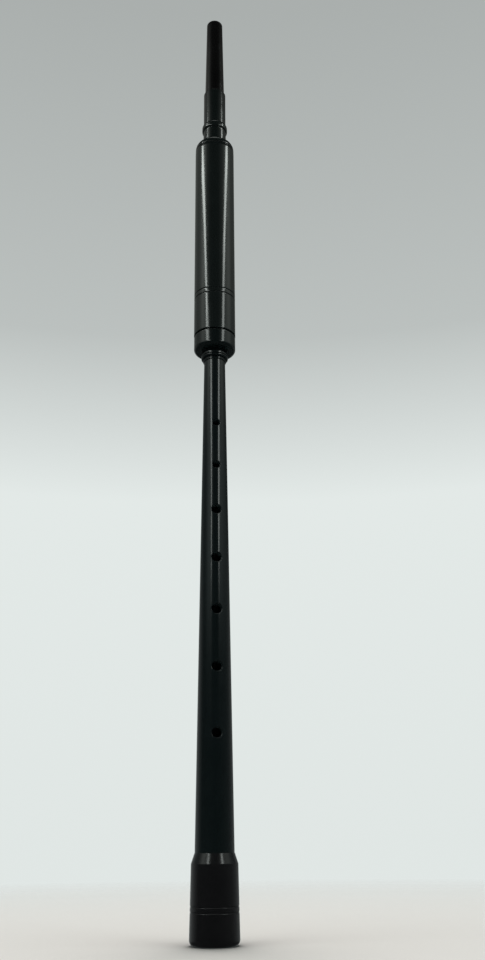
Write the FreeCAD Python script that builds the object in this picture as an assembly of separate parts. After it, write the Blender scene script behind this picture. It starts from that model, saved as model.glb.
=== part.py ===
"""Long bagpipe practice chanter, built as the separate pieces that it comes apart into.

The row frame is in millimetres: +Z runs up the bore, the origin is the centre of the
sole's flat underside, and the finger holes face -Y.  Every turned piece is a closed
outline of (radius, height) points that is revolved about Z.
"""

import FreeCAD
import Part

import math
import os

V = FreeCAD.Vector
AXIS = V(0, 0, 1)

# Driving dimensions: heights above the sole's underside.
TOTAL_LENGTH = 510.0
SOLE_TOP = 36.2
STEM_TOP = 275.1  # where the tapered stem meets its turned collar
CAP_BOTTOM = 281.2
JOINT_LINE = 290.8  # the cap meets the barrel here
SHOULDER_LINE = 412.3  # a scored line where the barrel begins to round over
BARREL_TOP = 415.2
NECK_TOP = 454.6  # the mouthpiece's shoulder sits on the neck here

# Driving dimensions: outer radii.
SOLE_FOOT_RADIUS = 10.9
SOLE_TOP_RADIUS = 10.3  # below the conical shoulder
STEM_FOOT_RADIUS = 8.68
STEM_TOP_RADIUS = 5.5
COLLAR_RADIUS = 7.0
CAP_RADIUS = 10.9
CAP_EDGE = 1.7  # rounding of the cap's lower edge
JOINT_GROOVE_RADIUS = 10.2  # floor of the groove under the joint line
JOINT_GROOVE_WIDTH = 1.0
BARREL_RADIUS = 11.0
NECK_RADIUS = 6.35
MOUTHPIECE_FOOT_RADIUS = 5.58
MOUTHPIECE_TIP_RADIUS = 4.68

# Stem: bore, tone holes and the spigot that the sole is glued on.
BORE_RADIUS = 2.4
FOOT_BORE_RADIUS = 5.0
FOOT_BORE_TOP = 54.0
FOOT_CONE_ANGLE = 31.0  # degrees, where the foot bore narrows to the playing bore
SPIGOT_RADIUS = 7.0
SPIGOT_BOTTOM = 3.0
SOLE_SHOULDER_HEIGHT = 4.3
FINGER_HOLES = [  # (height, diameter), from the highest note to the lowest
    (238.5, 3.5),
    (215.4, 3.5),
    (191.8, 4.4),
    (167.4, 4.5),
    (142.3, 4.7),
    (115.6, 4.6),
    (86.1, 4.6),
]
THUMB_HOLE = (250.0, 3.8)
HOLE_EDGE = 0.22

# Body joint: the stem's tenon, its two seals and the socket in the cap.
TENON_RADIUS = 6.1
TENON_TOP = 301.0
SOCKET_RADIUS = 6.15
TENON_SEAL_HEIGHTS = (288.0, 296.0)
REED_SEAT_RADIUS = 2.9
REED_SEAT_BOTTOM = 290.0

# Cap, trap tube and the screw joint between the cap and the barrel.
BOSS_TOP = 303.0
TRAP_TUBE_RADIUS = 7.3
TRAP_TUBE_BORE = 6.3
TRAP_TUBE_BOTTOM = 299.0
TRAP_TUBE_TOP = 340.0
THREAD_PITCH = 2.0
THREAD_START = 293.0
THREAD_TURNS = 4
THREAD_CORE_RADIUS = 8.3
THREAD_CREST_RADIUS = 9.0
THREAD_ROOT_WIDTH = 1.4
THREAD_CREST_WIDTH = 0.5
THREAD_GAP = 0.2  # radial and axial gap all round the male thread
CHAMBER_RADIUS = THREAD_CORE_RADIUS + THREAD_GAP
CHAMBER_TOP = 405.0
CHAMBER_CONE_HEIGHT = 4.0
CAP_SEAL_POCKET_RADIUS = 9.75
CAP_SEAL_POCKET_HEIGHT = 1.6
THREAD_LEAD_IN = 2  # turns of groove below the thread, so that it runs out of the barrel's end

# Shoulder, neck and mouthpiece.
SHOULDER_HEIGHT = 4.7
AIRWAY_RADIUS = 2.3
MOUTHPIECE_SOCKET_RADIUS = 4.5
MOUTHPIECE_SOCKET_BOTTOM = 436.0
MOUTHPIECE_TENON_RADIUS = 4.45
MOUTHPIECE_TENON_BOTTOM = 436.8
MOUTHPIECE_SEAL_HEIGHTS = (441.0, 448.0)
BEAD_HEIGHT = 428.7
BEAD_RADIUS = 7.25

# Seals: wire radius, and the gap that keeps each ring clear of its groove and socket.
SEAL_WIRE = 0.6
SEAL_GAP = 0.03

# Pairs of decorative lines.
LINE_WIDTH = 0.4
LINE_DEPTH = 0.25
BARREL_LINES = (312.6, 315.3)
SOLE_LINES = (13.0, 15.2)

# Reed: it stands in the seat at the top of the tenon.
REED_FOOT = 290.4
STAPLE_RADIUS = 2.1
STAPLE_BORE = 1.6
STAPLE_TOP = 312.0
REED_HEMP_RADIUS = 2.87
REED_HEMP_BOTTOM = 290.8
REED_HEMP_TOP = 300.4
BLADE_BOTTOM = 304.0
BLADE_TOP = 332.0
BLADE_WIDTH = 8.6
BLADE_TIP_EDGE = 0.25  # how far the hollow stops short of each side at the tip
BLADE_CLEARANCE = 0.02
BLADE_TIP_THICKNESS = 0.35
BLADE_ROOT_RADIUS = 3.0
REED_OPENING = 0.5  # between the blades at their tips, at the middle
BINDING_RADIUS = 3.4
BINDING_BOTTOM = 304.4
BINDING_TOP = 311.4
BRIDLE_HEIGHT = 315.2
BRIDLE_WIDTH = 1.6
BRIDLE_WALL = 0.5
BRIDLE_GAP = 0.03


def corner(before, here, after, radius):
    """Start, middle and end of the arc that rounds the corner at here, in (radius, height)."""
    to_before = (before - here).normalize()
    to_after = (after - here).normalize()
    half = to_before.getAngle(to_after) / 2
    bisector = (to_before + to_after).normalize()
    setback = radius / math.tan(half)
    centre = here + bisector * (radius / math.sin(half))
    return here + to_before * setback, centre - bisector * radius, here + to_after * setback


def turned(*outline):
    """A solid of revolution; each point is (radius, height) or (radius, height, corner radius)."""
    points = [V(p[0], 0, p[1]) for p in outline]
    radii = [p[2] if len(p) > 2 else 0 for p in outline]
    edges = []
    stops = []
    for i, here in enumerate(points):
        if radii[i]:
            stops.append(corner(points[i - 1], here, points[(i + 1) % len(points)], radii[i]))
        else:
            stops.append((here, None, here))
    for i, (start, middle, end) in enumerate(stops):
        if middle:
            edges.append(Part.Arc(start, middle, end).toShape())
        following = stops[(i + 1) % len(stops)][0]
        if end.distanceToPoint(following) > 1e-6:
            edges.append(Part.LineSegment(end, following).toShape())
    return Part.Face(Part.Wire(edges)).revolve(V(0, 0, 0), AXIS, 360)


def rod(radius, bottom, top):
    """A plain cylinder on the axis, used to cut bores."""
    return Part.makeCylinder(radius, top - bottom, V(0, 0, bottom), AXIS)


def line_cut(radius, height):
    """The ring of waste that a pointed tool takes out for one decorative line."""
    half = LINE_WIDTH / 2
    return turned((radius + half, height - 2 * half), (radius - LINE_DEPTH, height), (radius + half, height + 2 * half))


def seal(inner_wall, outer_wall, height):
    """An O-ring squeezed between a groove floor and a socket wall, clear of both."""
    wire = (outer_wall - inner_wall) / 2 - SEAL_GAP
    return Part.makeTorus((outer_wall + inner_wall) / 2, wire, V(0, 0, height), AXIS)


def seal_groove(tenon_radius, socket_radius, height):
    """The waste of a seal's groove; the floor is one wire diameter inside the socket wall."""
    floor = socket_radius - 2 * SEAL_WIRE
    half = SEAL_WIRE + 2 * SEAL_GAP
    outside = tenon_radius + 1
    return turned((floor, height - half), (outside, height - half), (outside, height + half), (floor, height + half))


def thread(inner_radius, crest_radius, extra_width, start, turns):
    """A helical ridge of trapezoid section whose flanks run parallel to the male thread's."""
    slope = (THREAD_ROOT_WIDTH - THREAD_CREST_WIDTH) / (THREAD_CREST_RADIUS - THREAD_CORE_RADIUS)

    def half_width(radius):
        return (THREAD_ROOT_WIDTH - slope * (radius - THREAD_CORE_RADIUS) + extra_width) / 2

    inner, crest = half_width(inner_radius), half_width(crest_radius)
    section = Part.makePolygon([
        V(inner_radius, 0, -inner),
        V(crest_radius, 0, -crest),
        V(crest_radius, 0, crest),
        V(inner_radius, 0, inner),
        V(inner_radius, 0, -inner),
    ])
    helix = Part.makeHelix(THREAD_PITCH, THREAD_PITCH * turns, inner_radius)
    ridge = Part.Wire(helix).makePipeShell([section], True, True)
    ridge.translate(V(0, 0, start))
    return ridge


def stem_radius(height):
    """Outer radius of the straight taper between the sole and the collar."""
    share = (height - SOLE_TOP) / (STEM_TOP - SOLE_TOP)
    return STEM_FOOT_RADIUS + share * (STEM_TOP_RADIUS - STEM_FOOT_RADIUS)


def sole_radius(height):
    """Outer radius of the sole's slight taper."""
    share = height / (SOLE_TOP - SOLE_SHOULDER_HEIGHT)
    return SOLE_FOOT_RADIUS + share * (SOLE_TOP_RADIUS - SOLE_FOOT_RADIUS)


def tone_hole(height, diameter, facing):
    """One tone hole's waste: a drilled hole and the small countersink at its mouth."""
    direction = V(0, facing, 0)
    outside = stem_radius(height)
    drill = Part.makeCylinder(diameter / 2, outside + 1, V(0, 0, height), direction)
    sink = Part.makeCone(
        diameter / 2, diameter / 2 + 2 * HOLE_EDGE, 2 * HOLE_EDGE, direction * (outside - HOLE_EDGE), direction
    )
    sink.translate(V(0, 0, height))
    return drill.fuse(sink)


def chanter_pipe():
    """The playing pipe: spigot, tapered stem, turned collar and tenon, with bore and tone holes."""
    body = turned(
        (FOOT_BORE_RADIUS, SPIGOT_BOTTOM),
        (SPIGOT_RADIUS, SPIGOT_BOTTOM),
        (SPIGOT_RADIUS, SOLE_TOP),
        (STEM_FOOT_RADIUS, SOLE_TOP),
        (STEM_TOP_RADIUS, STEM_TOP),
        (COLLAR_RADIUS - 1.0, STEM_TOP + 0.2, 0.2),
        (COLLAR_RADIUS - 1.0, STEM_TOP + 0.6, 0.1),
        (COLLAR_RADIUS - 1.25, STEM_TOP + 0.7),
        (COLLAR_RADIUS - 1.0, STEM_TOP + 0.8, 0.1),
        (COLLAR_RADIUS - 1.0, STEM_TOP + 1.3, 0.2),
        (COLLAR_RADIUS - 1.2, STEM_TOP + 1.3),
        (COLLAR_RADIUS - 1.2, STEM_TOP + 1.7),
        (COLLAR_RADIUS, STEM_TOP + 1.7, 0.6),
        (COLLAR_RADIUS, STEM_TOP + 2.85, 0.3),
        (COLLAR_RADIUS - 0.5, STEM_TOP + 2.85),
        (COLLAR_RADIUS - 0.5, STEM_TOP + 3.05),
        (COLLAR_RADIUS, STEM_TOP + 3.05, 0.3),
        (COLLAR_RADIUS, STEM_TOP + 4.7, 0.6),
        (COLLAR_RADIUS - 0.6, STEM_TOP + 4.7),
        (COLLAR_RADIUS - 0.6, CAP_BOTTOM),
        (TENON_RADIUS, CAP_BOTTOM),
        (TENON_RADIUS, TENON_TOP, 0.5),
        (REED_SEAT_RADIUS, TENON_TOP, 0.4),
        (REED_SEAT_RADIUS, REED_SEAT_BOTTOM),
        (BORE_RADIUS, REED_SEAT_BOTTOM),
        (BORE_RADIUS, FOOT_BORE_TOP + (FOOT_BORE_RADIUS - BORE_RADIUS) * math.tan(math.radians(FOOT_CONE_ANGLE))),
        (FOOT_BORE_RADIUS, FOOT_BORE_TOP),
    )
    waste = [seal_groove(TENON_RADIUS, SOCKET_RADIUS, z) for z in TENON_SEAL_HEIGHTS]
    waste += [tone_hole(z, d, -1) for z, d in FINGER_HOLES]
    waste.append(tone_hole(*THUMB_HOLE, 1))
    return body.cut(waste)


def sole():
    """The flared foot, glued over the spigot; its lip carries the pipe and leaves the bore open."""
    body = turned(
        (FOOT_BORE_RADIUS, 0, 0.4),
        (SOLE_FOOT_RADIUS, 0, 2.4),
        (SOLE_TOP_RADIUS, SOLE_TOP - SOLE_SHOULDER_HEIGHT, 0.6),
        (STEM_FOOT_RADIUS + 0.1, SOLE_TOP),
        (SPIGOT_RADIUS, SOLE_TOP),
        (SPIGOT_RADIUS, SPIGOT_BOTTOM),
        (FOOT_BORE_RADIUS, SPIGOT_BOTTOM),
    )
    return body.cut([line_cut(sole_radius(z), z) for z in SOLE_LINES])


def trap_cap():
    """The screw cap: an outer ring, the tenon's socket and a threaded boss that enters the barrel."""
    body = turned(
        (SOCKET_RADIUS, CAP_BOTTOM, 0.3),
        (CAP_RADIUS, CAP_BOTTOM, CAP_EDGE),
        (CAP_RADIUS, JOINT_LINE - JOINT_GROOVE_WIDTH, 0.15),
        (JOINT_GROOVE_RADIUS, JOINT_LINE - JOINT_GROOVE_WIDTH),
        (JOINT_GROOVE_RADIUS, JOINT_LINE),
        (THREAD_CORE_RADIUS, JOINT_LINE),
        (THREAD_CORE_RADIUS, BOSS_TOP, 0.4),
        (TRAP_TUBE_RADIUS, BOSS_TOP),
        (TRAP_TUBE_RADIUS, TRAP_TUBE_BOTTOM),
        (SOCKET_RADIUS, TRAP_TUBE_BOTTOM),
    )
    ridge = thread(THREAD_CORE_RADIUS - THREAD_GAP, THREAD_CREST_RADIUS, 0, THREAD_START, THREAD_TURNS)
    return body.fuse(ridge)


def trap_tube():
    """The standpipe round the reed: water runs down outside it and collects above the cap."""
    return turned(
        (TRAP_TUBE_BORE, TRAP_TUBE_BOTTOM),
        (TRAP_TUBE_RADIUS, TRAP_TUBE_BOTTOM),
        (TRAP_TUBE_RADIUS, TRAP_TUBE_TOP, 0.3),
        (TRAP_TUBE_BORE, TRAP_TUBE_TOP, 0.3),
    )


def barrel():
    """The upper body: a reed chamber with a threaded mouth, a domed shoulder and a beaded neck."""
    body = turned(
        (CAP_SEAL_POCKET_RADIUS, JOINT_LINE),
        (BARREL_RADIUS, JOINT_LINE, 0.15),
        (BARREL_RADIUS, BARREL_TOP - SHOULDER_HEIGHT, 0.5),
        (BARREL_RADIUS - 0.2, BARREL_TOP + 0.4, 3.0),
        (NECK_RADIUS + 2.4, BARREL_TOP + 1.4, 1.2),
        (NECK_RADIUS + 0.2, BARREL_TOP + 1.8, 0.5),
        (NECK_RADIUS + 0.15, BEAD_HEIGHT - 2.2, 0.3),
        (BEAD_RADIUS, BEAD_HEIGHT - 1.9, 1.4),
        (BEAD_RADIUS, BEAD_HEIGHT + 1.9, 1.4),
        (NECK_RADIUS, BEAD_HEIGHT + 2.2, 0.3),
        (NECK_RADIUS, NECK_TOP, 0.4),
        (MOUTHPIECE_SOCKET_RADIUS, NECK_TOP),
        (MOUTHPIECE_SOCKET_RADIUS, MOUTHPIECE_SOCKET_BOTTOM),
        (AIRWAY_RADIUS, MOUTHPIECE_SOCKET_BOTTOM),
        (AIRWAY_RADIUS, CHAMBER_TOP + CHAMBER_CONE_HEIGHT),
        (CHAMBER_RADIUS, CHAMBER_TOP, 2.0),
        (CHAMBER_RADIUS, JOINT_LINE + CAP_SEAL_POCKET_HEIGHT),
        (CAP_SEAL_POCKET_RADIUS, JOINT_LINE + CAP_SEAL_POCKET_HEIGHT),
    )
    waste = [line_cut(BARREL_RADIUS, z) for z in (*BARREL_LINES, SHOULDER_LINE)]
    waste.append(
        thread(
            CHAMBER_RADIUS - THREAD_GAP,
            THREAD_CREST_RADIUS + THREAD_GAP,
            2 * THREAD_GAP,
            THREAD_START - THREAD_LEAD_IN * THREAD_PITCH,
            THREAD_TURNS + THREAD_LEAD_IN + 1,
        )
    )
    return body.cut(waste)


def mouthpiece():
    """The slim tapered tip, with a grooved tenon that plugs into the neck."""
    body = turned(
        (AIRWAY_RADIUS, MOUTHPIECE_TENON_BOTTOM, 0.4),
        (MOUTHPIECE_TENON_RADIUS, MOUTHPIECE_TENON_BOTTOM, 0.4),
        (MOUTHPIECE_TENON_RADIUS, NECK_TOP),
        (MOUTHPIECE_FOOT_RADIUS, NECK_TOP, 0.25),
        (MOUTHPIECE_TIP_RADIUS, TOTAL_LENGTH, 0.45),
        (AIRWAY_RADIUS, TOTAL_LENGTH, 0.5),
    )
    return body.cut([
        seal_groove(MOUTHPIECE_TENON_RADIUS, MOUTHPIECE_SOCKET_RADIUS, z) for z in MOUTHPIECE_SEAL_HEIGHTS
    ])


def tube(bore, radius, bottom, top):
    """A plain ring or tube."""
    return rod(radius, bottom, top).cut(rod(bore, bottom - 1, top + 1))


def blade_section(height, inner, outer):
    """One closed cross-section of the front blade; inner and outer are each (half width, bulge)."""
    def arc(half_width, bulge):
        return Part.Arc(V(-half_width, 0, height), V(0, -bulge, height), V(half_width, 0, height)).toShape()

    def edge(side):
        return Part.LineSegment(V(side * inner[0], 0, height), V(side * outer[0], 0, height)).toShape()

    return Part.Wire([arc(*inner), edge(1), arc(*outer), edge(-1)])


def reed_blade(facing):
    """One blade: half round where it is bound to the staple, nearly flat at its tip."""
    bore = STAPLE_RADIUS + BLADE_CLEARANCE
    half_width = BLADE_WIDTH / 2
    stations = [
        blade_section(BLADE_BOTTOM, (bore, bore), (BLADE_ROOT_RADIUS, BLADE_ROOT_RADIUS)),
        blade_section(STAPLE_TOP, (bore, bore), (BLADE_ROOT_RADIUS, BLADE_ROOT_RADIUS)),
        blade_section(
            BLADE_TOP,
            (half_width - BLADE_TIP_EDGE, REED_OPENING / 2),
            (half_width, REED_OPENING / 2 + BLADE_TIP_THICKNESS),
        ),
    ]
    blade = Part.makeLoft(stations, True, True)
    if facing > 0:
        blade.rotate(V(0, 0, 0), AXIS, 180)
    return blade


def reed_bridle():
    """The oval rubber band that presses the blades together above their binding."""
    share = (BRIDLE_HEIGHT + BRIDLE_WIDTH - STAPLE_TOP) / (BLADE_TOP - STAPLE_TOP)
    long_radius = BLADE_ROOT_RADIUS + share * (BLADE_WIDTH / 2 - BLADE_ROOT_RADIUS) + BRIDLE_GAP
    share = (BRIDLE_HEIGHT - STAPLE_TOP) / (BLADE_TOP - STAPLE_TOP)
    tip_rise = REED_OPENING / 2 + BLADE_TIP_THICKNESS
    short_radius = BLADE_ROOT_RADIUS + share * (tip_rise - BLADE_ROOT_RADIUS) + BRIDLE_GAP

    def oval(growth):
        ellipse = Part.Ellipse(V(0, 0, BRIDLE_HEIGHT), long_radius + growth, short_radius + growth)
        return Part.Face(Part.Wire(ellipse.toShape())).extrude(AXIS * BRIDLE_WIDTH)

    return oval(BRIDLE_WALL).cut(oval(0))


def build():
    """Every piece by its node name."""
    pieces = {
        "chanter_pipe": chanter_pipe(),
        "sole": sole(),
        "trap_cap": trap_cap(),
        "trap_tube": trap_tube(),
        "barrel": barrel(),
        "mouthpiece": mouthpiece(),
        "cap_o_ring": Part.makeTorus(
            (THREAD_CORE_RADIUS + CAP_SEAL_POCKET_RADIUS) / 2,
            SEAL_WIRE,
            V(0, 0, JOINT_LINE + CAP_SEAL_POCKET_HEIGHT / 2),
            AXIS,
        ),
        "reed_staple": tube(STAPLE_BORE, STAPLE_RADIUS, REED_FOOT, STAPLE_TOP),
        "reed_hemp": tube(STAPLE_RADIUS, REED_HEMP_RADIUS, REED_HEMP_BOTTOM, REED_HEMP_TOP),
        "reed_blade_front": reed_blade(-1),
        "reed_blade_back": reed_blade(1),
        "reed_binding": tube(BLADE_ROOT_RADIUS + BLADE_CLEARANCE, BINDING_RADIUS, BINDING_BOTTOM, BINDING_TOP),
        "reed_bridle": reed_bridle(),
    }
    for name, z in zip(("lower", "upper"), TENON_SEAL_HEIGHTS):
        pieces[f"tenon_o_ring_{name}"] = seal(SOCKET_RADIUS - 2 * SEAL_WIRE, SOCKET_RADIUS, z)
    for name, z in zip(("lower", "upper"), MOUTHPIECE_SEAL_HEIGHTS):
        pieces[f"mouthpiece_o_ring_{name}"] = seal(
            MOUTHPIECE_SOCKET_RADIUS - 2 * SEAL_WIRE, MOUTHPIECE_SOCKET_RADIUS, z
        )
    return pieces


def main():
    """Writes one STEP file per piece and prints each piece's size."""
    os.makedirs("parts", exist_ok=True)
    for name, shape in build().items():
        box = shape.BoundBox
        print(
            f"{name:24s} {shape.ShapeType:9s} solids {len(shape.Solids)} valid {shape.isValid()}"
            f" volume {shape.Volume:9.1f}  z {box.ZMin:7.2f} to {box.ZMax:7.2f}  r {box.XMax:6.2f}"
        )
        shape.exportStep(f"parts/{name}.step")


main()
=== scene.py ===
"""Looks of the long bagpipe practice chanter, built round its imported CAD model.

Lengths are millimetres until a mesh is made, and metres for the lights and the floor.  The
object stands on its sole with +Z up the bore and the finger holes facing -Y.  Every turned
piece is a closed outline of (radius, height) points, taken round the axis in fine steps with
its edges rounded.
"""

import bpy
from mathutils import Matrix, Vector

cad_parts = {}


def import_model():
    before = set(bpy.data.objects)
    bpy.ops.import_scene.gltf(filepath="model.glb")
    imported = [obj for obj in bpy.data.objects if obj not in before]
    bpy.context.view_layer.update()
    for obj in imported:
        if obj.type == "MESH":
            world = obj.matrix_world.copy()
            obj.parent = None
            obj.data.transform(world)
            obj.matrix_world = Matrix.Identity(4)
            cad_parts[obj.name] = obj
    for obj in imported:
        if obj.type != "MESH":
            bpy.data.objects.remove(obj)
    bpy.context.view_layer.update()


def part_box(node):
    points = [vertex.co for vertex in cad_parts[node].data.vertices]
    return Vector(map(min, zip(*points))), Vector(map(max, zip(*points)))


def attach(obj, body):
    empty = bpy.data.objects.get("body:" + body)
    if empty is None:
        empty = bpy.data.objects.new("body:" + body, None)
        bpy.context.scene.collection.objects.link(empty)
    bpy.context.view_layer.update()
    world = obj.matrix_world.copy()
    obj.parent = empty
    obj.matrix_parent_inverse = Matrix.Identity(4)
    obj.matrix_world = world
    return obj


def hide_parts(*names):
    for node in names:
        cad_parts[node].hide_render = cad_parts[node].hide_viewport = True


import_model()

import math

import bpy
from mathutils import Matrix, Vector

MM = 0.001
SEGMENTS = 96  # round every turned piece
ARC_STEP = 14  # degrees between the points of a rounded edge
SUPPORT = 0.35  # distance of the loops that hold a rounded edge crisp
LONG_RUN = 6.0  # longest quad along a straight run
THREAD_STEP = 0.1  # height of the rows that carry a thread
UP = Vector((0, 0, 1))


def low(node):
    """Lowest height of a CAD node."""
    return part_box(node)[0].z / MM


def high(node):
    """Greatest height of a CAD node."""
    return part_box(node)[1].z / MM


def reach(node):
    """Largest radius of a CAD node."""
    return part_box(node)[1].x / MM


def low_y(node):
    """Furthest place of a CAD node towards -Y."""
    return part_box(node)[0].y / MM


# Heights and radii from the frame.
FOOT = low("sole")
SOLE_TOP = high("sole")
SPIGOT_BOTTOM = low("chanter_pipe")
TENON_TOP = high("chanter_pipe")
CAP_BOTTOM = low("trap_cap")
BOSS_TOP = high("trap_cap")
JOINT_LINE = low("barrel")
NECK_TOP = high("barrel")
TENON_BOTTOM = low("mouthpiece")
TIP = high("mouthpiece")
TUBE_BOTTOM, TUBE_TOP = low("trap_tube"), high("trap_tube")
REED_FOOT, STAPLE_TOP = low("reed_staple"), high("reed_staple")
BLADE_BOTTOM, BLADE_TOP = low("reed_blade_front"), high("reed_blade_front")
SOLE_RADIUS = reach("sole")
STEM_RADIUS = reach("chanter_pipe")
CAP_RADIUS = reach("trap_cap")
BARREL_RADIUS = reach("barrel")
TUBE_RADIUS = reach("trap_tube")
STAPLE_RADIUS = reach("reed_staple")
BLADE_HALF_WIDTH = reach("reed_blade_front")

# Stem.
STEM_TOP = CAP_BOTTOM - 6.1
STEM_TOP_RADIUS = 5.5
COLLAR_RADIUS = 7.0
SPIGOT_RADIUS = 7.0
BORE_RADIUS = 2.4
FOOT_BORE_RADIUS = 5.0
FOOT_BORE_TOP = 54.0
FOOT_CONE = 1.6  # height over which the foot bore narrows to the playing bore
REED_SEAT_BOTTOM = REED_FOOT - 0.4
REED_SEAT_RADIUS = 2.9
TENON_RADIUS = 6.1
TENON_SEALS = ("tenon_o_ring_lower", "tenon_o_ring_upper")
FINGER_HOLES = (  # (height, diameter), from the highest note to the lowest
    (238.5, 3.5),
    (215.4, 3.5),
    (191.8, 4.4),
    (167.4, 4.5),
    (142.3, 4.7),
    (115.6, 4.6),
    (86.1, 4.6),
)
THUMB_HOLE = (250.0, 3.8)

# Sole.
SOLE_SHOULDER = 4.3  # height of the cone that narrows to the stem
SOLE_NARROWING = 0.6  # how much the sole's radius drops from its foot to its shoulder

# Cap, barrel and mouthpiece.
SOCKET_RADIUS = 6.15
TUBE_BORE = TUBE_RADIUS - 1.0
THREAD_PITCH = 2.0
THREAD_START = JOINT_LINE + 2.2
THREAD_TURNS = 4
THREAD_CORE = 8.3
THREAD_HEIGHT = 0.7
THREAD_GAP = 0.2
THREAD_FLAT, THREAD_ROOT = 0.5, 1.4  # widths of a ridge at its crest and at its root
THREAD_FADE = 6  # a ridge rises, and runs out, over one sixth of a turn
SEAL_POCKET_RADIUS, SEAL_POCKET_HEIGHT = THREAD_CORE + 1.45, 1.6
SHOULDER = JOINT_LINE + 124.4
BEAD = JOINT_LINE + 137.9
BEAD_RADIUS = 7.25
NECK_RADIUS = 6.35
CHAMBER_TOP = JOINT_LINE + 114.2
CHAMBER_CONE = 4.0  # height over which the reed chamber narrows to the airway
AIRWAY_RADIUS = 2.3
PLUG_RADIUS, PLUG_SOCKET_RADIUS = 4.45, 4.5
PLUG_GAP = 0.8  # between the mouthpiece's plug and the bottom of its socket
MOUTHPIECE_FOOT_RADIUS, MOUTHPIECE_TIP_RADIUS = 5.58, 4.68
BARREL_LINES = (JOINT_LINE + 21.8, JOINT_LINE + 24.5)
SOLE_LINES = (FOOT + 13.0, FOOT + 15.2)
LINE_WIDTH, LINE_DEPTH = 0.66, 0.26
SHOULDER_LINE = JOINT_LINE + 121.5
CAP_EDGE = 1.7  # rounding of the cap's lower edge
JOINT_GROOVE_RADIUS = 10.2
JOINT_GROOVE_WIDTH = 1.0


# ---------------------------------------------------------------- outlines


def fillet(before, here, after, radius):
    """Points of the arc that rounds the corner at here."""
    to_before = (before - here).normalized()
    to_after = (after - here).normalized()
    half = to_before.angle(to_after) / 2
    centre = here + (to_before + to_after).normalized() * (radius / math.sin(half))
    start = here + to_before * (radius / math.tan(half)) - centre
    end = here + to_after * (radius / math.tan(half)) - centre
    turn = start.angle(end)
    steps = max(3, round(math.degrees(turn) / ARC_STEP))
    arc = []
    for k in range(steps + 1):
        share = k / steps
        swung = start * math.sin((1 - share) * turn) + end * math.sin(share * turn)
        arc.append(centre + swung / math.sin(turn))
    return arc


def run(start, end):
    """Points strictly between two ends of a straight run: a support near each end and even steps."""
    length = (end - start).length
    if length < 4 * SUPPORT:
        return []
    inner = length - 2 * SUPPORT
    steps = max(1, math.ceil(inner / LONG_RUN))
    return [start.lerp(end, (SUPPORT + inner * k / steps) / length) for k in range(steps + 1)]


def outline(*points):
    """Rows of a closed outline; each point is (radius, height) or (radius, height, rounding)."""
    places = [Vector(p[:2]) for p in points]
    corners = []
    for i, here in enumerate(places):
        rounding = points[i][2] if len(points[i]) > 2 else 0
        after = places[(i + 1) % len(places)]
        corners.append(fillet(places[i - 1], here, after, rounding) if rounding else [here])
    rows = []
    for i, corner in enumerate(corners):
        rows += corner
        rows += run(corner[-1], corners[(i + 1) % len(corners)][0])
    return rows


def groove(radius, height):
    """Outline points of one decorative line on an outer wall, from below to above."""
    half = LINE_WIDTH / 2
    return (
        (radius, height - half, 0.2),
        (radius - LINE_DEPTH, height - 0.03),
        (radius - LINE_DEPTH, height + 0.03),
        (radius, height + half, 0.2),
    )


def seal_groove(node, tenon_radius):
    """Outline points of an O-ring's groove on a tenon, from below to above."""
    wire = high(node) - low(node)
    bottom, top, depth = low(node) - 0.1, high(node) + 0.1, reach(node) - wire - 0.03
    return (tenon_radius, bottom, 0.05), (depth, bottom), (depth, top), (tenon_radius, top, 0.05)


def thread_rows(radius, bottom, top):
    """Fine rows along a threaded wall, from the bottom up."""
    return [(radius, bottom + THREAD_STEP * k) for k in range(round((top - bottom) / THREAD_STEP))]


# ---------------------------------------------------------------- meshes


def piece(name, vertices, faces, sharp=32):
    """A smooth-shaded mesh object in metres, with outward normals and crisp edges where it turns sharply."""
    mesh = bpy.data.meshes.new(name)
    mesh.from_pydata([Vector(v) * MM for v in vertices], [], faces)
    mesh.validate()
    made = bpy.data.objects.new(name, mesh)
    bpy.context.scene.collection.objects.link(made)
    bpy.context.view_layer.objects.active = made
    made.select_set(True)
    bpy.ops.object.mode_set(mode="EDIT")
    bpy.ops.mesh.select_all(action="SELECT")
    bpy.ops.mesh.normals_make_consistent(inside=False)
    bpy.ops.object.mode_set(mode="OBJECT")
    made.select_set(False)
    mesh.shade_smooth()
    mesh.set_sharp_from_angle(angle=math.radians(sharp))
    return made


def ring_point(radius, angle, height):
    """A point on a circle round the axis."""
    return radius * math.cos(angle), radius * math.sin(angle), height


def ring_faces(rings, sides=SEGMENTS, closed=True):
    """Quads between rings of points, and from the last ring back to the first if it is closed."""
    faces = []
    for i in range(rings if closed else rings - 1):
        this, other = i * sides, (i + 1) % rings * sides
        for j in range(sides):
            k = (j + 1) % sides
            faces.append((this + j, this + k, other + k, other + j))
    return faces


def lathe(name, rows, reshape=None):
    """Takes closed (radius, height) rows round the axis; reshape(angle, radius, height) may move a radius."""
    vertices = []
    for radius, height in rows:
        for j in range(SEGMENTS):
            angle = math.tau * j / SEGMENTS
            local = reshape(angle, radius, height) if reshape else radius
            vertices.append(ring_point(local, angle, height))
    return piece(name, vertices, ring_faces(len(rows)))


def ring_tube(name, centres, across, sides, closed):
    """A tube of round section along centres; across(i) gives its two section directions and its radius."""
    vertices = []
    for i, centre in enumerate(centres):
        first, second, radius = across(i)
        for k in range(sides):
            turn = math.tau * k / sides
            vertices.append(centre + (first * math.cos(turn) + second * math.sin(turn)) * radius)
    faces = ring_faces(len(centres), sides, closed)
    if not closed:
        faces.append(tuple(range(sides)))
        faces.append(tuple((len(centres) - 1) * sides + k for k in range(sides)))
    return piece(name, vertices, faces, sharp=60)


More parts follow.
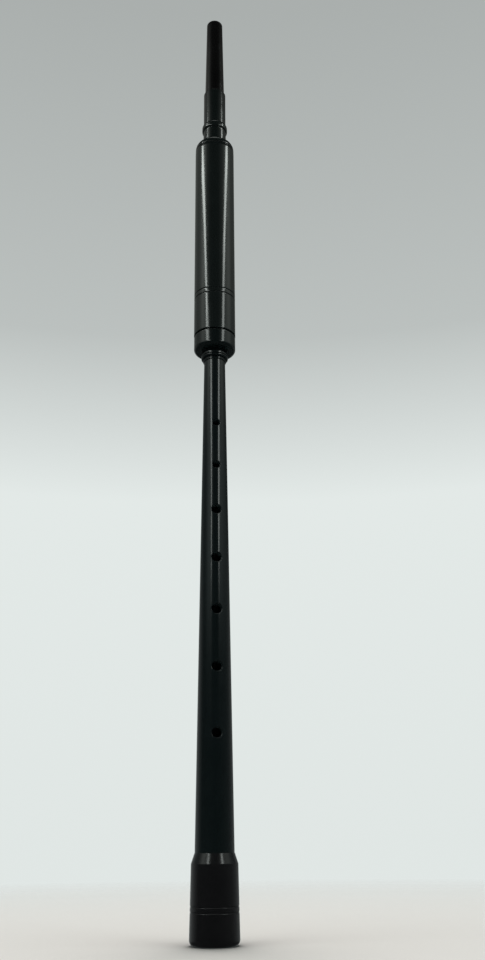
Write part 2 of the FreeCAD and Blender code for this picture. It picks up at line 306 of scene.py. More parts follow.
def o_ring(name, node):
    """A rubber ring of the node's size."""
    wire = (high(node) - low(node)) / 2
    middle = reach(node) - wire
    height = (high(node) + low(node)) / 2
    angles = [math.tau * j / SEGMENTS for j in range(SEGMENTS)]
    centres = [Vector(ring_point(middle, a, height)) for a in angles]
    outward = [Vector(ring_point(1, a, 0)) for a in angles]
    return ring_tube(name, centres, lambda i: (outward[i], UP, wire), sides=16, closed=True)


def winding(name, node, core_radius):
    """Thread wound side by side round a core, as one helix that fills the node's height."""
    wire = (reach(node) - core_radius) / 2
    bottom, top = low(node) + wire, high(node) - wire
    pressed, per_turn = 0.97, 36  # how tightly the turns lie, and the steps in each
    turns = (top - bottom) / (2 * wire * pressed)
    steps = round(turns * per_turn)
    centres, outward = [], []
    for i in range(steps + 1):
        angle = math.tau * turns * i / steps
        centres.append(Vector(ring_point(core_radius + wire, angle, bottom + (top - bottom) * i / steps)))
        outward.append(Vector(ring_point(1, angle, 0)))
    return ring_tube(name, centres, lambda i: (outward[i], UP, wire), sides=8, closed=False)


# ---------------------------------------------------------------- screw thread


def ridge(angle, height, start, turns, extra):
    """How far a right-hand ridge stands out at this place, from 0 to THREAD_HEIGHT."""
    along = (height - start) / THREAD_PITCH - angle / math.tau
    turn = round(along)
    place = turn + angle / math.tau
    if not 0 <= place <= turns:
        return 0
    off = abs(along - turn) * THREAD_PITCH
    crest, root = (THREAD_FLAT + extra) / 2, (THREAD_ROOT + extra) / 2
    rise = max(0.0, min(1.0, (root - off) / (root - crest)))
    fade = min(1.0, place * THREAD_FADE, (turns - place) * THREAD_FADE)
    return THREAD_HEIGHT * rise * fade


# ---------------------------------------------------------------- the drilled pipe

WINDOW = 6  # half the columns and rows of the grid that a tone hole replaces
BORE_SEGMENTS = 24
RIM = 0.45  # rounding of a tone hole's edge
RIM_STEPS = 5
WINDOW_LOOP = 8 * WINDOW
SKIN_MARGIN, BORE_MARGIN = 1.1, 0.7  # from a hole's edge to its window's, outside and in the bore
SKIN_SHARES = (0.35, 0.62, 0.82, 0.94, 1.0)  # loops from a window's edge to the hole
BORE_SHARES = (0.4, 0.75, 1.0)
WALL_SHARES = (0.06, 0.5, 0.94)  # loops down a hole's wall


def stem_radius(height):
    """Outer radius of the stem's straight taper."""
    share = (height - SOLE_TOP) / (STEM_TOP - SOLE_TOP)
    return STEM_RADIUS + share * (STEM_TOP_RADIUS - STEM_RADIUS)


def heights(bottom, top, holes, margin):
    """Row heights between two ends, with a full window of rows at each hole."""
    marks = [bottom, bottom + SUPPORT, top - SUPPORT, top]
    for height, diameter in holes:
        half = diameter / 2 + margin
        marks += [height + half * k / WINDOW for k in range(-WINDOW, WINDOW + 1)]
    marks.sort()
    filled = [marks[0]]
    for mark in marks[1:]:
        steps = max(1, math.ceil((mark - filled[-1]) / LONG_RUN))
        start = filled[-1]
        filled += [start + (mark - start) * k / steps for k in range(1, steps + 1)]
    return filled


def window_loop():
    """The grid places round a window as (column, row) offsets, from the right middle and anticlockwise."""
    w = WINDOW
    loop = [(w, r) for r in range(0, w + 1)]
    loop += [(c, w) for c in range(w - 1, -w - 1, -1)]
    loop += [(-w, r) for r in range(w - 1, -w - 1, -1)]
    loop += [(c, -w) for c in range(-w + 1, w + 1)]
    loop += [(w, r) for r in range(-w + 1, 0)]
    return loop


class Pipe:
    """Collects the drilled pipe's rows, and joins them with quads, windows and hole walls."""

    def __init__(self):
        self.vertices = []
        self.faces = []
        self.rows = []  # (first vertex, segments, height)

    def row(self, radius, height, segments):
        """Adds one ring."""
        self.rows.append((len(self.vertices), segments, height))
        for j in range(segments):
            self.vertices.append(ring_point(radius, math.tau * j / segments, height))

    def join(self, lower, upper, skip):
        """Quads between two rows, or fans where one has more segments; skip(column) leaves one out."""
        (a, na, _), (b, nb, _) = self.rows[lower], self.rows[upper]
        if na > nb:
            a, na, b, nb = b, nb, a, na
        ratio = nb // na
        for j in range(na):
            if ratio == 1 and skip(j):
                continue
            far = [b + (j * ratio + k) % nb for k in range(ratio, -1, -1)]
            self.faces.append((a + j, a + (j + 1) % na, *far))

    def loop(self, points):
        """Adds a loop of points and returns their numbers."""
        first = len(self.vertices)
        self.vertices += points
        return list(range(first, first + len(points)))

    def band(self, one, two):
        """Quads between two loops of the same length."""
        for k in range(len(one)):
            n = (k + 1) % len(one)
            self.faces.append((one[k], one[n], two[n], two[k]))


def hole_angle(k):
    """Direction of point k of a hole's loop."""
    return math.tau * k / WINDOW_LOOP


def drill(pipe, height, diameter, facing, outer, inner):
    """Joins the windows in the outer and the bore grids with one rounded hole wall."""
    hole = diameter / 2
    out = Vector((0, facing, 0))
    side = Vector((-facing, 0, 0))

    def place(radius, k, surface, sunk=0.0):
        """The point of the hole's loop at this radius, on a surface or sunk below it."""
        across, rise = radius * math.cos(hole_angle(k)), radius * math.sin(hole_angle(k))
        level = height + rise
        return side * across + out * (math.sqrt(surface(level) ** 2 - across**2) - sunk) + UP * level

    def patch(border, radius, surface, shares):
        """Loops from the window's border towards the hole, on the surface."""
        last = border
        centre = facing * math.pi / 2
        for share in shares:
            points = []
            for k, number in enumerate(border):
                start = Vector(pipe.vertices[number])
                end = place(radius, k, surface)
                level = start.z + (end.z - start.z) * share
                turn_start = math.remainder(math.atan2(start.y, start.x) - centre, math.tau)
                turn_end = math.remainder(math.atan2(end.y, end.x) - centre, math.tau)
                turn = centre + turn_start + (turn_end - turn_start) * share
                points.append(ring_point(surface(level), turn, level))
            loop = pipe.loop(points)
            pipe.band(last, loop)
            last = loop
        return last

    last = patch(outer, hole + RIM, stem_radius, SKIN_SHARES)
    for step in range(1, RIM_STEPS + 1):
        turn = math.pi / 2 * step / RIM_STEPS
        radius, sunk = hole + RIM * (1 - math.sin(turn)), RIM * (1 - math.cos(turn))
        loop = pipe.loop([place(radius, k, stem_radius, sunk) for k in range(WINDOW_LOOP)])
        pipe.band(last, loop)
        last = loop
    rim = last
    bore = patch(inner, hole, lambda level: BORE_RADIUS, BORE_SHARES)
    for share in WALL_SHARES:
        ends = [(Vector(pipe.vertices[a]), Vector(pipe.vertices[b])) for a, b in zip(rim, bore)]
        loop = pipe.loop([a.lerp(b, share) for a, b in ends])
        pipe.band(last, loop)
        last = loop
    pipe.band(last, bore)


def chanter_pipe():
    """The playing pipe with its collar, tenon, bore and eight tone holes."""
    holes = [(*hole, -1) for hole in FINGER_HOLES] + [(*THUMB_HOLE, 1)]
    pipe = Pipe()
    lower = [(FOOT_BORE_RADIUS, SPIGOT_BOTTOM), (SPIGOT_RADIUS, SPIGOT_BOTTOM), (SPIGOT_RADIUS, SOLE_TOP)]
    for place in lower:
        pipe.row(*place, SEGMENTS)
    stem_start = len(pipe.rows)
    for height in heights(SOLE_TOP, STEM_TOP, [h[:2] for h in holes], SKIN_MARGIN):
        pipe.row(stem_radius(height), height, SEGMENTS)
    stem_end = len(pipe.rows)
    collar = outline(
        (STEM_TOP_RADIUS, STEM_TOP),
        (COLLAR_RADIUS - 1.0, STEM_TOP + 0.2, 0.2),
        (COLLAR_RADIUS - 1.0, STEM_TOP + 0.6, 0.1),
        (COLLAR_RADIUS - 1.25, STEM_TOP + 0.7),
        (COLLAR_RADIUS - 1.0, STEM_TOP + 0.8, 0.1),
        (COLLAR_RADIUS - 1.0, STEM_TOP + 1.3, 0.2),
        (COLLAR_RADIUS - 1.2, STEM_TOP + 1.3),
        (COLLAR_RADIUS - 1.2, STEM_TOP + 1.7),
        (COLLAR_RADIUS, STEM_TOP + 1.7, 0.6),
        (COLLAR_RADIUS, STEM_TOP + 2.85, 0.3),
        (COLLAR_RADIUS - 0.5, STEM_TOP + 2.85),
        (COLLAR_RADIUS - 0.5, STEM_TOP + 3.05),
        (COLLAR_RADIUS, STEM_TOP + 3.05, 0.3),
        (COLLAR_RADIUS, STEM_TOP + 4.7, 0.6),
        (COLLAR_RADIUS - 0.6, STEM_TOP + 4.7),
        (COLLAR_RADIUS - 0.6, CAP_BOTTOM),
        (TENON_RADIUS, CAP_BOTTOM),
        *seal_groove(TENON_SEALS[0], TENON_RADIUS),
        *seal_groove(TENON_SEALS[1], TENON_RADIUS),
        (TENON_RADIUS, TENON_TOP, 0.5),
        (REED_SEAT_RADIUS, TENON_TOP, 0.4),
        (REED_SEAT_RADIUS, REED_SEAT_BOTTOM),
    )
    while collar[-1].y < REED_SEAT_BOTTOM - 0.01 or collar[-1].x > REED_SEAT_RADIUS + 0.01:
        collar.pop()
    for place in collar[1:]:
        pipe.row(*place, SEGMENTS)
    bore_start = len(pipe.rows)
    bore_bottom = FOOT_BORE_TOP + FOOT_CONE
    for height in reversed(heights(bore_bottom, REED_SEAT_BOTTOM, [h[:2] for h in holes], BORE_MARGIN)):
        pipe.row(BORE_RADIUS, height, BORE_SEGMENTS)
    bore_end = len(pipe.rows)
    pipe.row(FOOT_BORE_RADIUS, FOOT_BORE_TOP, SEGMENTS)

    windows = []
    for height, diameter, facing in holes:
        found = []
        for start, end in ((stem_start, stem_end), (bore_start, bore_end)):
            middle = min(range(start, end), key=lambda i: abs(pipe.rows[i][2] - height))
            segments = pipe.rows[middle][1]
            centre = segments // 4 if facing > 0 else 3 * segments // 4
            found.append((middle, centre, segments))
        windows.append((height, diameter, facing, found))

    for i in range(len(pipe.rows)):
        after = (i + 1) % len(pipe.rows)

        def skip(column):
            """Whether this quad lies in a tone hole's window."""
            for *_, found in windows:
                for middle, centre, segments in found:
                    rows_match = middle - WINDOW <= i < middle + WINDOW and segments == pipe.rows[i][1]
                    if rows_match and centre - WINDOW <= column < centre + WINDOW:
                        return True
            return False

        pipe.join(i, after, skip)
    for height, diameter, facing, found in windows:
        borders = []
        for (middle, centre, segments), direction in zip(found, (1, -1)):
            border = []
            for column, row in window_loop():
                first = pipe.rows[middle + direction * row][0]
                border.append(first + (centre + column) % segments)
            borders.append(border)
        drill(pipe, height, diameter, facing, *borders)
    return piece("chanter_pipe_turned", pipe.vertices, pipe.faces)


# ---------------------------------------------------------------- turned pieces


def sole():
    """The flared foot with its conical shoulder and two lines."""
    line_radius = SOLE_RADIUS - 0.26  # the leaning wall's radius at the lower line
    return lathe("sole_turned", outline(
        (FOOT_BORE_RADIUS, FOOT, 0.4),
        (SOLE_RADIUS, FOOT, 2.4),
        *groove(line_radius, SOLE_LINES[0]),
        *groove(line_radius - 0.04, SOLE_LINES[1]),
        (SOLE_RADIUS - SOLE_NARROWING, SOLE_TOP - SOLE_SHOULDER, 0.5),
        (STEM_RADIUS + 0.1, SOLE_TOP, 0.08),
        (SPIGOT_RADIUS, SOLE_TOP),
        (SPIGOT_RADIUS, SPIGOT_BOTTOM),
        (FOOT_BORE_RADIUS, SPIGOT_BOTTOM),
    ))


def trap_cap():
    """The screw cap with its rounded lower edge and its male thread."""
    rows = outline(
        (SOCKET_RADIUS, CAP_BOTTOM, 0.3),
        (CAP_RADIUS, CAP_BOTTOM, CAP_EDGE),
        (CAP_RADIUS, JOINT_LINE - JOINT_GROOVE_WIDTH, 0.15),
        (JOINT_GROOVE_RADIUS, JOINT_LINE - JOINT_GROOVE_WIDTH),
        (JOINT_GROOVE_RADIUS, JOINT_LINE),
        (THREAD_CORE, JOINT_LINE),
        *thread_rows(THREAD_CORE, JOINT_LINE + 1.0, BOSS_TOP - 0.6),
        (THREAD_CORE, BOSS_TOP, 0.4),
        (TUBE_RADIUS, BOSS_TOP),
        (TUBE_RADIUS, TUBE_BOTTOM),
        (SOCKET_RADIUS, TUBE_BOTTOM),
    )

    def reshape(angle, radius, height):
        """Raises the thread out of the boss."""
        if abs(radius - THREAD_CORE) > 0.01:
            return radius
        return radius + ridge(angle, height, THREAD_START, THREAD_TURNS, 0)

    return lathe("trap_cap_turned", rows, reshape)


def trap_tube():
    """The standpipe round the reed."""
    return lathe("trap_tube_turned", outline(
        (TUBE_BORE, TUBE_BOTTOM),
        (TUBE_RADIUS, TUBE_BOTTOM),
        (TUBE_RADIUS, TUBE_TOP, 0.3),
        (TUBE_BORE, TUBE_TOP, 0.3),
    ))


def barrel():
    """The upper body: lines, domed shoulder, beaded neck and the threaded reed chamber."""
    chamber = THREAD_CORE + THREAD_GAP
    thread_bottom = JOINT_LINE + 2.0 + THREAD_STEP
    thread_top = THREAD_START + THREAD_PITCH * (THREAD_TURNS + 1) + 1.0
    rows = outline(
        (SEAL_POCKET_RADIUS, JOINT_LINE),
        (BARREL_RADIUS, JOINT_LINE, 0.15),
        *groove(BARREL_RADIUS, BARREL_LINES[0]),
        *groove(BARREL_RADIUS, BARREL_LINES[1]),
        (BARREL_RADIUS, SHOULDER - 4.7, 0.5),
        *groove(BARREL_RADIUS - 0.06, SHOULDER_LINE),
        (BARREL_RADIUS - 0.2, SHOULDER + 0.4, 3.0),
        (NECK_RADIUS + 2.4, SHOULDER + 1.4, 1.2),
        (NECK_RADIUS + 0.2, SHOULDER + 1.8, 0.25),
        (NECK_RADIUS + 0.15, BEAD - 2.2, 0.3),
        (BEAD_RADIUS, BEAD - 1.9, 1.4),
        (BEAD_RADIUS, BEAD + 1.9, 1.4),
        (NECK_RADIUS, BEAD + 2.2, 0.15),
        (NECK_RADIUS, NECK_TOP, 0.2),
        (PLUG_SOCKET_RADIUS, NECK_TOP),
        (PLUG_SOCKET_RADIUS, TENON_BOTTOM - PLUG_GAP),
        (AIRWAY_RADIUS, TENON_BOTTOM - PLUG_GAP),
        (AIRWAY_RADIUS, CHAMBER_TOP + CHAMBER_CONE),
        (chamber, CHAMBER_TOP, 2.0),
        *reversed(thread_rows(chamber, thread_bottom, thread_top + THREAD_STEP)),
        (chamber, JOINT_LINE + SEAL_POCKET_HEIGHT),
        (SEAL_POCKET_RADIUS, JOINT_LINE + SEAL_POCKET_HEIGHT),
    )

    def reshape(angle, radius, height):
        """Sinks the thread into the chamber's mouth."""
        if abs(radius - chamber) > 0.01 or height > thread_top + THREAD_STEP / 2:
            return radius
        start = THREAD_START - 2 * THREAD_PITCH
        return radius + ridge(angle, height, start, THREAD_TURNS + 3, 2 * THREAD_GAP)

    return lathe("barrel_turned", rows, reshape)


def mouthpiece():
    """The slim tip with its grooved tenon."""
    return lathe("mouthpiece_turned", outline(
        (AIRWAY_RADIUS, TENON_BOTTOM, 0.4),
        (PLUG_RADIUS, TENON_BOTTOM, 0.4),
        *seal_groove("mouthpiece_o_ring_lower", PLUG_RADIUS),
        *seal_groove("mouthpiece_o_ring_upper", PLUG_RADIUS),
        (PLUG_RADIUS, NECK_TOP),
        (MOUTHPIECE_FOOT_RADIUS, NECK_TOP, 0.12),
        (MOUTHPIECE_TIP_RADIUS, TIP, 0.45),
        (AIRWAY_RADIUS, TIP, 0.5),
    ))


# ---------------------------------------------------------------- the reed


def staple():
    """The brass tube that carries the blades."""
    bore = STAPLE_RADIUS - 0.5
    return lathe("reed_staple_tube", outline(
        (bore, REED_FOOT, 0.1),
        (STAPLE_RADIUS, REED_FOOT, 0.15),
        (STAPLE_RADIUS, STAPLE_TOP, 0.1),
        (bore, STAPLE_TOP, 0.1),
    ))


def blade(name, facing):
    """One blade: half round at the binding, thinning and opening out to a nearly flat tip."""
    root = -low_y("reed_blade_front")
    bore = STAPLE_RADIUS + 0.02
    tip_rise, tip_wall, side_wall = 0.25, 0.35, 0.25
    rows, columns = 36, 24
    vertices = []
    for i in range(rows + 1):
        height = BLADE_BOTTOM + (BLADE_TOP - BLADE_BOTTOM) * i / rows
        share = max(0.0, (height - STAPLE_TOP) / (BLADE_TOP - STAPLE_TOP))
        sections = (
            (root + share * (BLADE_HALF_WIDTH - root), root + share * (tip_rise + tip_wall - root)),
            (bore + share * (BLADE_HALF_WIDTH - side_wall - bore), bore + share * (tip_rise - bore)),
        )
        for side, (half_width, rise) in zip((1, -1), sections):
            arc_radius = (half_width**2 + rise**2) / (2 * rise)
            half_angle = math.asin(min(1.0, half_width / arc_radius))
            for j in range(columns + 1):
                turn = side * half_angle * (2 * j / columns - 1)
                x = arc_radius * math.sin(turn)
                y = arc_radius * math.cos(turn) - (arc_radius - rise)
                vertices.append((x, facing * max(0.0, y), height))
    around = 2 * (columns + 1)
    faces = ring_faces(rows + 1, around, closed=False)
    for row in (0, rows):
        for j in range(columns):
            a, b = row * around + j, row * around + around - 1 - j
            faces.append((a, a + 1, b - 1, b))
    return piece(name, vertices, faces)


def bridle():
    """The oval rubber band round the blades."""
    lows, highs = (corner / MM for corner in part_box("reed_bridle"))
    long_radius, short_radius, half_height = highs.x, highs.y, (highs.z - lows.z) / 2
    wall, middle = 0.5, (highs.z + lows.z) / 2
    rounding = 0.18
    section = outline(
        (0, -half_height, rounding),
        (wall, -half_height, rounding),
        (wall, half_height, rounding),
        (0, half_height, rounding),
    )
    vertices = []
    for depth, rise in section:
        for j in range(SEGMENTS):
            angle = math.tau * j / SEGMENTS
            x = (long_radius - wall + depth) * math.cos(angle)
            y = (short_radius - wall + depth) * math.sin(angle)
            vertices.append((x, y, middle + rise))
    return piece("reed_bridle_band", vertices, ring_faces(len(section)))


# ---------------------------------------------------------------- materials


def add(tree, kind, inputs=None, **settings):
    """A new node with its settings and inputs; an input is a value or another node's socket."""
    made = tree.nodes.new(kind)
    for name, value in settings.items():
        setattr(made, name, value)
    for name, value in (inputs or {}).items():
        if isinstance(value, bpy.types.NodeSocket):
            tree.links.new(value, made.inputs[name])
        else:
            made.inputs[name].default_value = value
    return made


def material(name):
    """A new material with its node tree and its surface shader."""
    made = bpy.data.materials.new(name)
    made.use_nodes = True
    return made, made.node_tree, made.node_tree.nodes["Principled BSDF"]


def remap(tree, value, low_in, high_in, low_out, high_out):
    """A clamped linear map of a value."""
    inputs = {"Value": value, "From Min": low_in, "From Max": high_in, "To Min": low_out, "To Max": high_out}
    return add(tree, "ShaderNodeMapRange", inputs).outputs["Result"]


def calculate(tree, operation, *values):
    """A maths node's result."""
    return add(tree, "ShaderNodeMath", dict(enumerate(values)), operation=operation).outputs[0]


def blend_colour(tree, factor, first, second):
    """A mix of two colours."""
    mix = add(tree, "ShaderNodeMix", data_type="RGBA")
    tree.links.new(factor, mix.inputs["Factor"])
    for number, colour in ((6, first), (7, second)):
        if isinstance(colour, bpy.types.NodeSocket):
            tree.links.new(colour, mix.inputs[number])
        else:
            mix.inputs[number].default_value = (*colour, 1)
    return mix.outputs[2]


def object_place(tree):
    """Where a point lies on the object, in metres."""
    return add(tree, "ShaderNodeTexCoord").outputs["Object"]


def noise(tree, place, scale, detail, **more):
    """A noise; a scale of three numbers stretches it along the axes."""
    if isinstance(scale, tuple):
        place = add(tree, "ShaderNodeMapping", {"Vector": place, "Scale": scale}).outputs["Vector"]
        scale = 1.0
    inputs = {"Vector": place, "Scale": scale, "Detail": detail, **more}
    return add(tree, "ShaderNodeTexNoise", inputs).outputs["Fac"]


def bump(tree, strength, depth, height, **more):
    """A surface direction roughened by a height; the depth is in metres."""
    inputs = {"Strength": strength, "Distance": depth, "Height": height, **more}
    return add(tree, "ShaderNodeBump", inputs).outputs["Normal"]


def coat(tree, shader, colour, roughness, normal):
    """Gives a surface its colour, roughness and direction."""
    for name, socket in (("Base Color", colour), ("Roughness", roughness), ("Normal", normal)):
        tree.links.new(socket, shader.inputs[name])


DUST = (0.03, 0.03, 0.029)
PAINTED_BORE_LIGHT = (0.03, 0.05, 0.052)  # the walls of holes and bore: a lighter colour there, painted light in place of the light that reaches into them
SMUDGE = 0.06  # how much rougher the handling haze makes a polish


def black_plastic(name, colour, roughness, marks, taper=None):
    """Turned black plastic: fine tool marks round the axis, faint handling haze, hairline scratches and dust.

    A taper gives two (radius, height) points of the outside; what lies deeper is drilled and unpolished, so
    rougher, and gets a lighter colour that is painted light in the holes and bore.
    """
    made, tree, shader = material(name)
    place = object_place(tree)
    split = add(tree, "ShaderNodeSeparateXYZ", {"Vector": place})
    rings = {"W": split.outputs["Z"], "Scale": 5200.0, "Detail": 3.0}
    tool = add(tree, "ShaderNodeTexNoise", rings, noise_dimensions="1D").outputs["Fac"]
    haze = noise(tree, place, 55.0, 4.0, Roughness=0.6)
    scratch = remap(tree, noise(tree, place, (900.0, 900.0, 60.0), 1.0), 0.68, 0.74, 0.0, 1.0)
    cell = add(tree, "ShaderNodeTexVoronoi", {"Vector": place, "Scale": 900.0}).outputs["Distance"]
    speck = remap(tree, cell, 0.10, 0.05, 0.0, 1.0)
    dust = calculate(tree, "MULTIPLY", speck, remap(tree, haze, 0.56, 0.66, 0.0, 1.0))
    worn = tuple(channel * 1.4 + 0.0008 for channel in colour)
    shade = blend_colour(tree, dust, blend_colour(tree, haze, colour, worn), DUST)
    rough = remap(tree, haze, 0.35, 0.7, roughness, roughness + SMUDGE)
    rough = calculate(tree, "MULTIPLY_ADD", scratch, 0.06, rough)
    rough = calculate(tree, "MULTIPLY_ADD", dust, 0.3, rough)
    if taper:
        (foot_radius, foot), (top_radius, top) = taper
        skin = remap(tree, split.outputs["Z"], foot * MM, top * MM, foot_radius * MM, top_radius * MM)
        flat = add(tree, "ShaderNodeCombineXYZ", {"X": split.outputs["X"], "Y": split.outputs["Y"]})
        out = add(tree, "ShaderNodeVectorMath", {0: flat.outputs[0]}, operation="LENGTH").outputs["Value"]
        depth = calculate(tree, "SUBTRACT", skin, out)
        drilled = remap(tree, depth, 0.35 * MM, 0.75 * MM, 0.0, 1.0)
        # painted light: the walls of holes and bore get a lighter colour than the outside; their extra
        # roughness below is real
        shade = blend_colour(tree, drilled, shade, PAINTED_BORE_LIGHT)
        rough = calculate(tree, "MULTIPLY_ADD", drilled, 0.35, rough)
    turned = bump(tree, marks, 0.00002, tool)
    coat(tree, shader, shade, rough, bump(tree, 0.12, -0.00002, scratch, Normal=turned))
    shader.inputs["IOR"].default_value = 1.48
    return made


def rubber(name, colour):
    """Satin rubber with a moulded bloom."""
    made, tree, shader = material(name)
    bloom = noise(tree, object_place(tree), 700.0, 4.0)
    shade = blend_colour(tree, bloom, colour, tuple(channel * 1.8 for channel in colour))
    coat(tree, shader, shade, remap(tree, bloom, 0.3, 0.7, 0.42, 0.62), bump(tree, 0.2, 0.00003, bloom))
    return made


def brass(name):
    """Drawn brass tube with faint tarnish."""
    made, tree, shader = material(name)
    place = object_place(tree)
    tarnish = noise(tree, place, 300.0, 5.0)
    drawn = noise(tree, place, (5000.0, 5000.0, 120.0), 2.0)
    shade = blend_colour(tree, tarnish, (0.62, 0.43, 0.16), (0.42, 0.27, 0.10))
    coat(tree, shader, shade, remap(tree, tarnish, 0.3, 0.7, 0.24, 0.42), bump(tree, 0.15, 0.00002, drawn))
    shader.inputs["Metallic"].default_value = 1.0
    return made


def thread_fibre(name, dark, light, fuzz):
    """Waxed thread: fibres that run round the axis, uneven wax and colour."""
    made, tree, shader = material(name)
    place = object_place(tree)
    fibre = noise(tree, place, (1800.0, 1800.0, 14000.0), 3.0)
    wax = noise(tree, place, 420.0, 3.0)
    shade = blend_colour(tree, remap(tree, fibre, 0.35, 0.65, 0.0, 1.0), dark, light)
    shade = blend_colour(tree, remap(tree, wax, 0.5, 0.8, 0.0, 0.5), shade, dark)
    coat(tree, shader, shade, remap(tree, wax, 0.3, 0.7, 0.55, 0.85), bump(tree, 0.7, 0.00005, fibre))
    shader.inputs["Sheen Weight"].default_value = fuzz
    return made


def reed_plastic(name):
    """Scraped translucent reed blade with fine lines along its length."""
    made, tree, shader = material(name)
    grain = noise(tree, object_place(tree), (4200.0, 900.0, 90.0), 4.0)
    shade = blend_colour(tree, grain, (0.80, 0.68, 0.42), (0.62, 0.48, 0.25))
    coat(tree, shader, shade, remap(tree, grain, 0.3, 0.7, 0.38, 0.55), bump(tree, 0.25, 0.00003, grain))
    shader.inputs["Subsurface Weight"].default_value = 0.15
    shader.inputs["Subsurface Radius"].default_value = (0.002, 0.0015, 0.0008)
    return made


# ---------------------------------------------------------------- camera, light and floor

CAMERA_DISTANCE = 433.3  # from the bore's axis, measured level
CAMERA_HEIGHT = 40.0  # above the sole's underside
CAMERA_AZIMUTH = -8.0  # degrees round from the line of the finger holes
CAMERA_TILT = 21.34  # degrees above level
CAMERA_ASIDE = 1.715  # degrees that the camera looks past the object's right side
SENSOR = 36.0
LENS = 34.875


def level_turn():
    """The turn about Z that the camera and the lights share."""
    return Matrix.Rotation(math.radians(CAMERA_AZIMUTH), 4, "Z")


def camera():
    """A camera low in front of the holes, tilted up the pipe."""
    data = bpy.data.cameras.new("camera")
    data.sensor_width = SENSOR
    data.lens = LENS
    data.clip_start = 0.01
    made = bpy.data.objects.new("camera", data)
    bpy.context.scene.collection.objects.link(made)
    tilt = Matrix.Rotation(math.radians(90 + CAMERA_TILT), 4, "X")
    aside = Matrix.Rotation(math.radians(-CAMERA_ASIDE), 4, "Y")
    stand = Matrix.Translation(Vector((0, -CAMERA_DISTANCE, CAMERA_HEIGHT)) * MM)
    made.matrix_world = level_turn() @ stand @ tilt @ aside
    bpy.context.scene.camera = made


def panel(name, middle, facing, length, width, radiance, colour):
    """A rectangular lamp, which the camera can't see."""
    data = bpy.data.lights.new(name, "AREA")
    data.shape = "RECTANGLE"
    data.size, data.size_y = length, width
    data.energy = radiance * math.pi * length * width
    data.color = colour
    made = bpy.data.objects.new(name, data)
    bpy.context.scene.collection.objects.link(made)
    made.matrix_world = level_turn() @ Matrix.Translation(middle) @ facing.to_4x4()
    made.visible_camera = False
    return made


def strip_light(name, start, end, width, radiance):
    """A long soft strip between two points, facing the object."""
    start, end = Vector(start), Vector(end)
    along = (end - start).normalized()
    middle = (start + end) / 2
    away = middle - LIT_MIDDLE
    back = (away - along * away.dot(along)).normalized()
    facing = Matrix((along, back.cross(along), back)).transposed()
    panel(name, middle, facing, (end - start).length, width, radiance, STRIP_COLOUR)


LIT_MIDDLE = Vector((0, 0, 0.3))  # the place on the object that the strips face
STRIP_COLOUR = (0.93, 1.0, 0.96)
TENT_SIDE = 0.83  # from the axis to each row of strips
STRIPS = (  # name, side, the two ends as (depth, height), width, radiance
    ("strip_left_far", -1, (-0.10, 1.12), (-0.90, 1.015), 0.085, 9.8),
    ("strip_left_middle", -1, (-0.90, 1.015), (-1.46, 1.03), 0.18, 4.7),
    ("strip_left_near", -1, (-1.46, 1.03), (-1.74, 0.76), 0.17, 4.0),
    ("strip_right_far", 1, (-0.09, 1.155), (-0.60, 1.035), 0.09, 7.8),
    ("strip_right_near", 1, (-0.60, 1.035), (-1.28, 0.66), 0.17, 4.5),
)
OVERHEAD_PLACE = Vector((0, 0.22, 1.6))
OVERHEAD_SIDE = 0.35
OVERHEAD_RADIANCE = 45.0
OVERHEAD_COLOUR = (1.0, 0.97, 0.94)


def lights():
    """Strips along the tent's upper edges, dimmer beside the camera, and a soft lamp overhead."""
    for name, side, start, end, width, radiance in STRIPS:
        ends = [(side * TENT_SIDE, *point) for point in (start, end)]
        strip_light(name, *ends, width, radiance)
    size, level = (OVERHEAD_SIDE, OVERHEAD_SIDE), Matrix.Identity(3)
    overhead = panel("overhead", OVERHEAD_PLACE, level, *size, OVERHEAD_RADIANCE, OVERHEAD_COLOUR)
    overhead.visible_glossy = False


# The tent.  Each table runs over degrees and gives a grey.

SEEN = (  # what the camera sees past the object, over elevation: a plain pale sweep that dims upwards
    (0, 0.78),
    (20, 0.80),
    (30, 0.52),
    (48, 0.42),
)
SEEN_TINT = (0.96, 1.02, 1.0)
# What a reflection meets, over the angle round from straight behind the object, left side negative.
LOW_LIGHT = (
    (-60, 0.26),
    (-80, 0.14),
    (-96, 0.04),
    (-180, 0.02),
    (140, 0.03),
    (100, 0.08),
    (80, 0.13),
    (50, 0.22),
    (22, 0.22),
    (10, 0.60),
    (-10, 0.60),
    (-24, 0.32),
)
EYE_LIGHT = (
    (-60, 0.13),
    (-92, 0.11),
    (-110, 0.25),
    (-130, 0.60),
    (-148, 0.60),
    (-164, 0.09),
    (-180, 0.05),
    (156, 0.05),
    (142, 0.45),
    (128, 0.52),
    (110, 0.38),
    (88, 0.24),
    (62, 0.09),
    (40, 0.04),
    (18, 0.08),
    (8, 0.60),
    (-8, 0.60),
    (-22, 0.20),
)
HIGH_LIGHT = (
    (-55, 0.22),
    (-72, 0.24),
    (-92, 0.46),
    (-110, 1.10),
    (-120, 0.90),
    (-134, 0.24),
    (-155, 0.05),
    (-180, 0.04),
    (158, 0.05),
    (135, 0.22),
    (116, 0.55),
    (98, 0.75),
    (88, 0.60),
    (72, 0.24),
    (45, 0.11),
    (20, 0.12),
    (8, 0.40),
    (-8, 0.40),
    (-24, 0.20),
)
TOP_LIGHT = (
    (-60, 0.24),
    (-75, 0.20),
    (-98, 0.34),
    (-112, 0.20),
    (-135, 0.04),
    (-180, 0.0),
    (125, 0.01),
    (98, 0.09),
    (78, 0.12),
    (45, 0.06),
    (15, 0.08),
    (-15, 0.22),
)
LOW_TINT = (0.93, 1.0, 0.99)
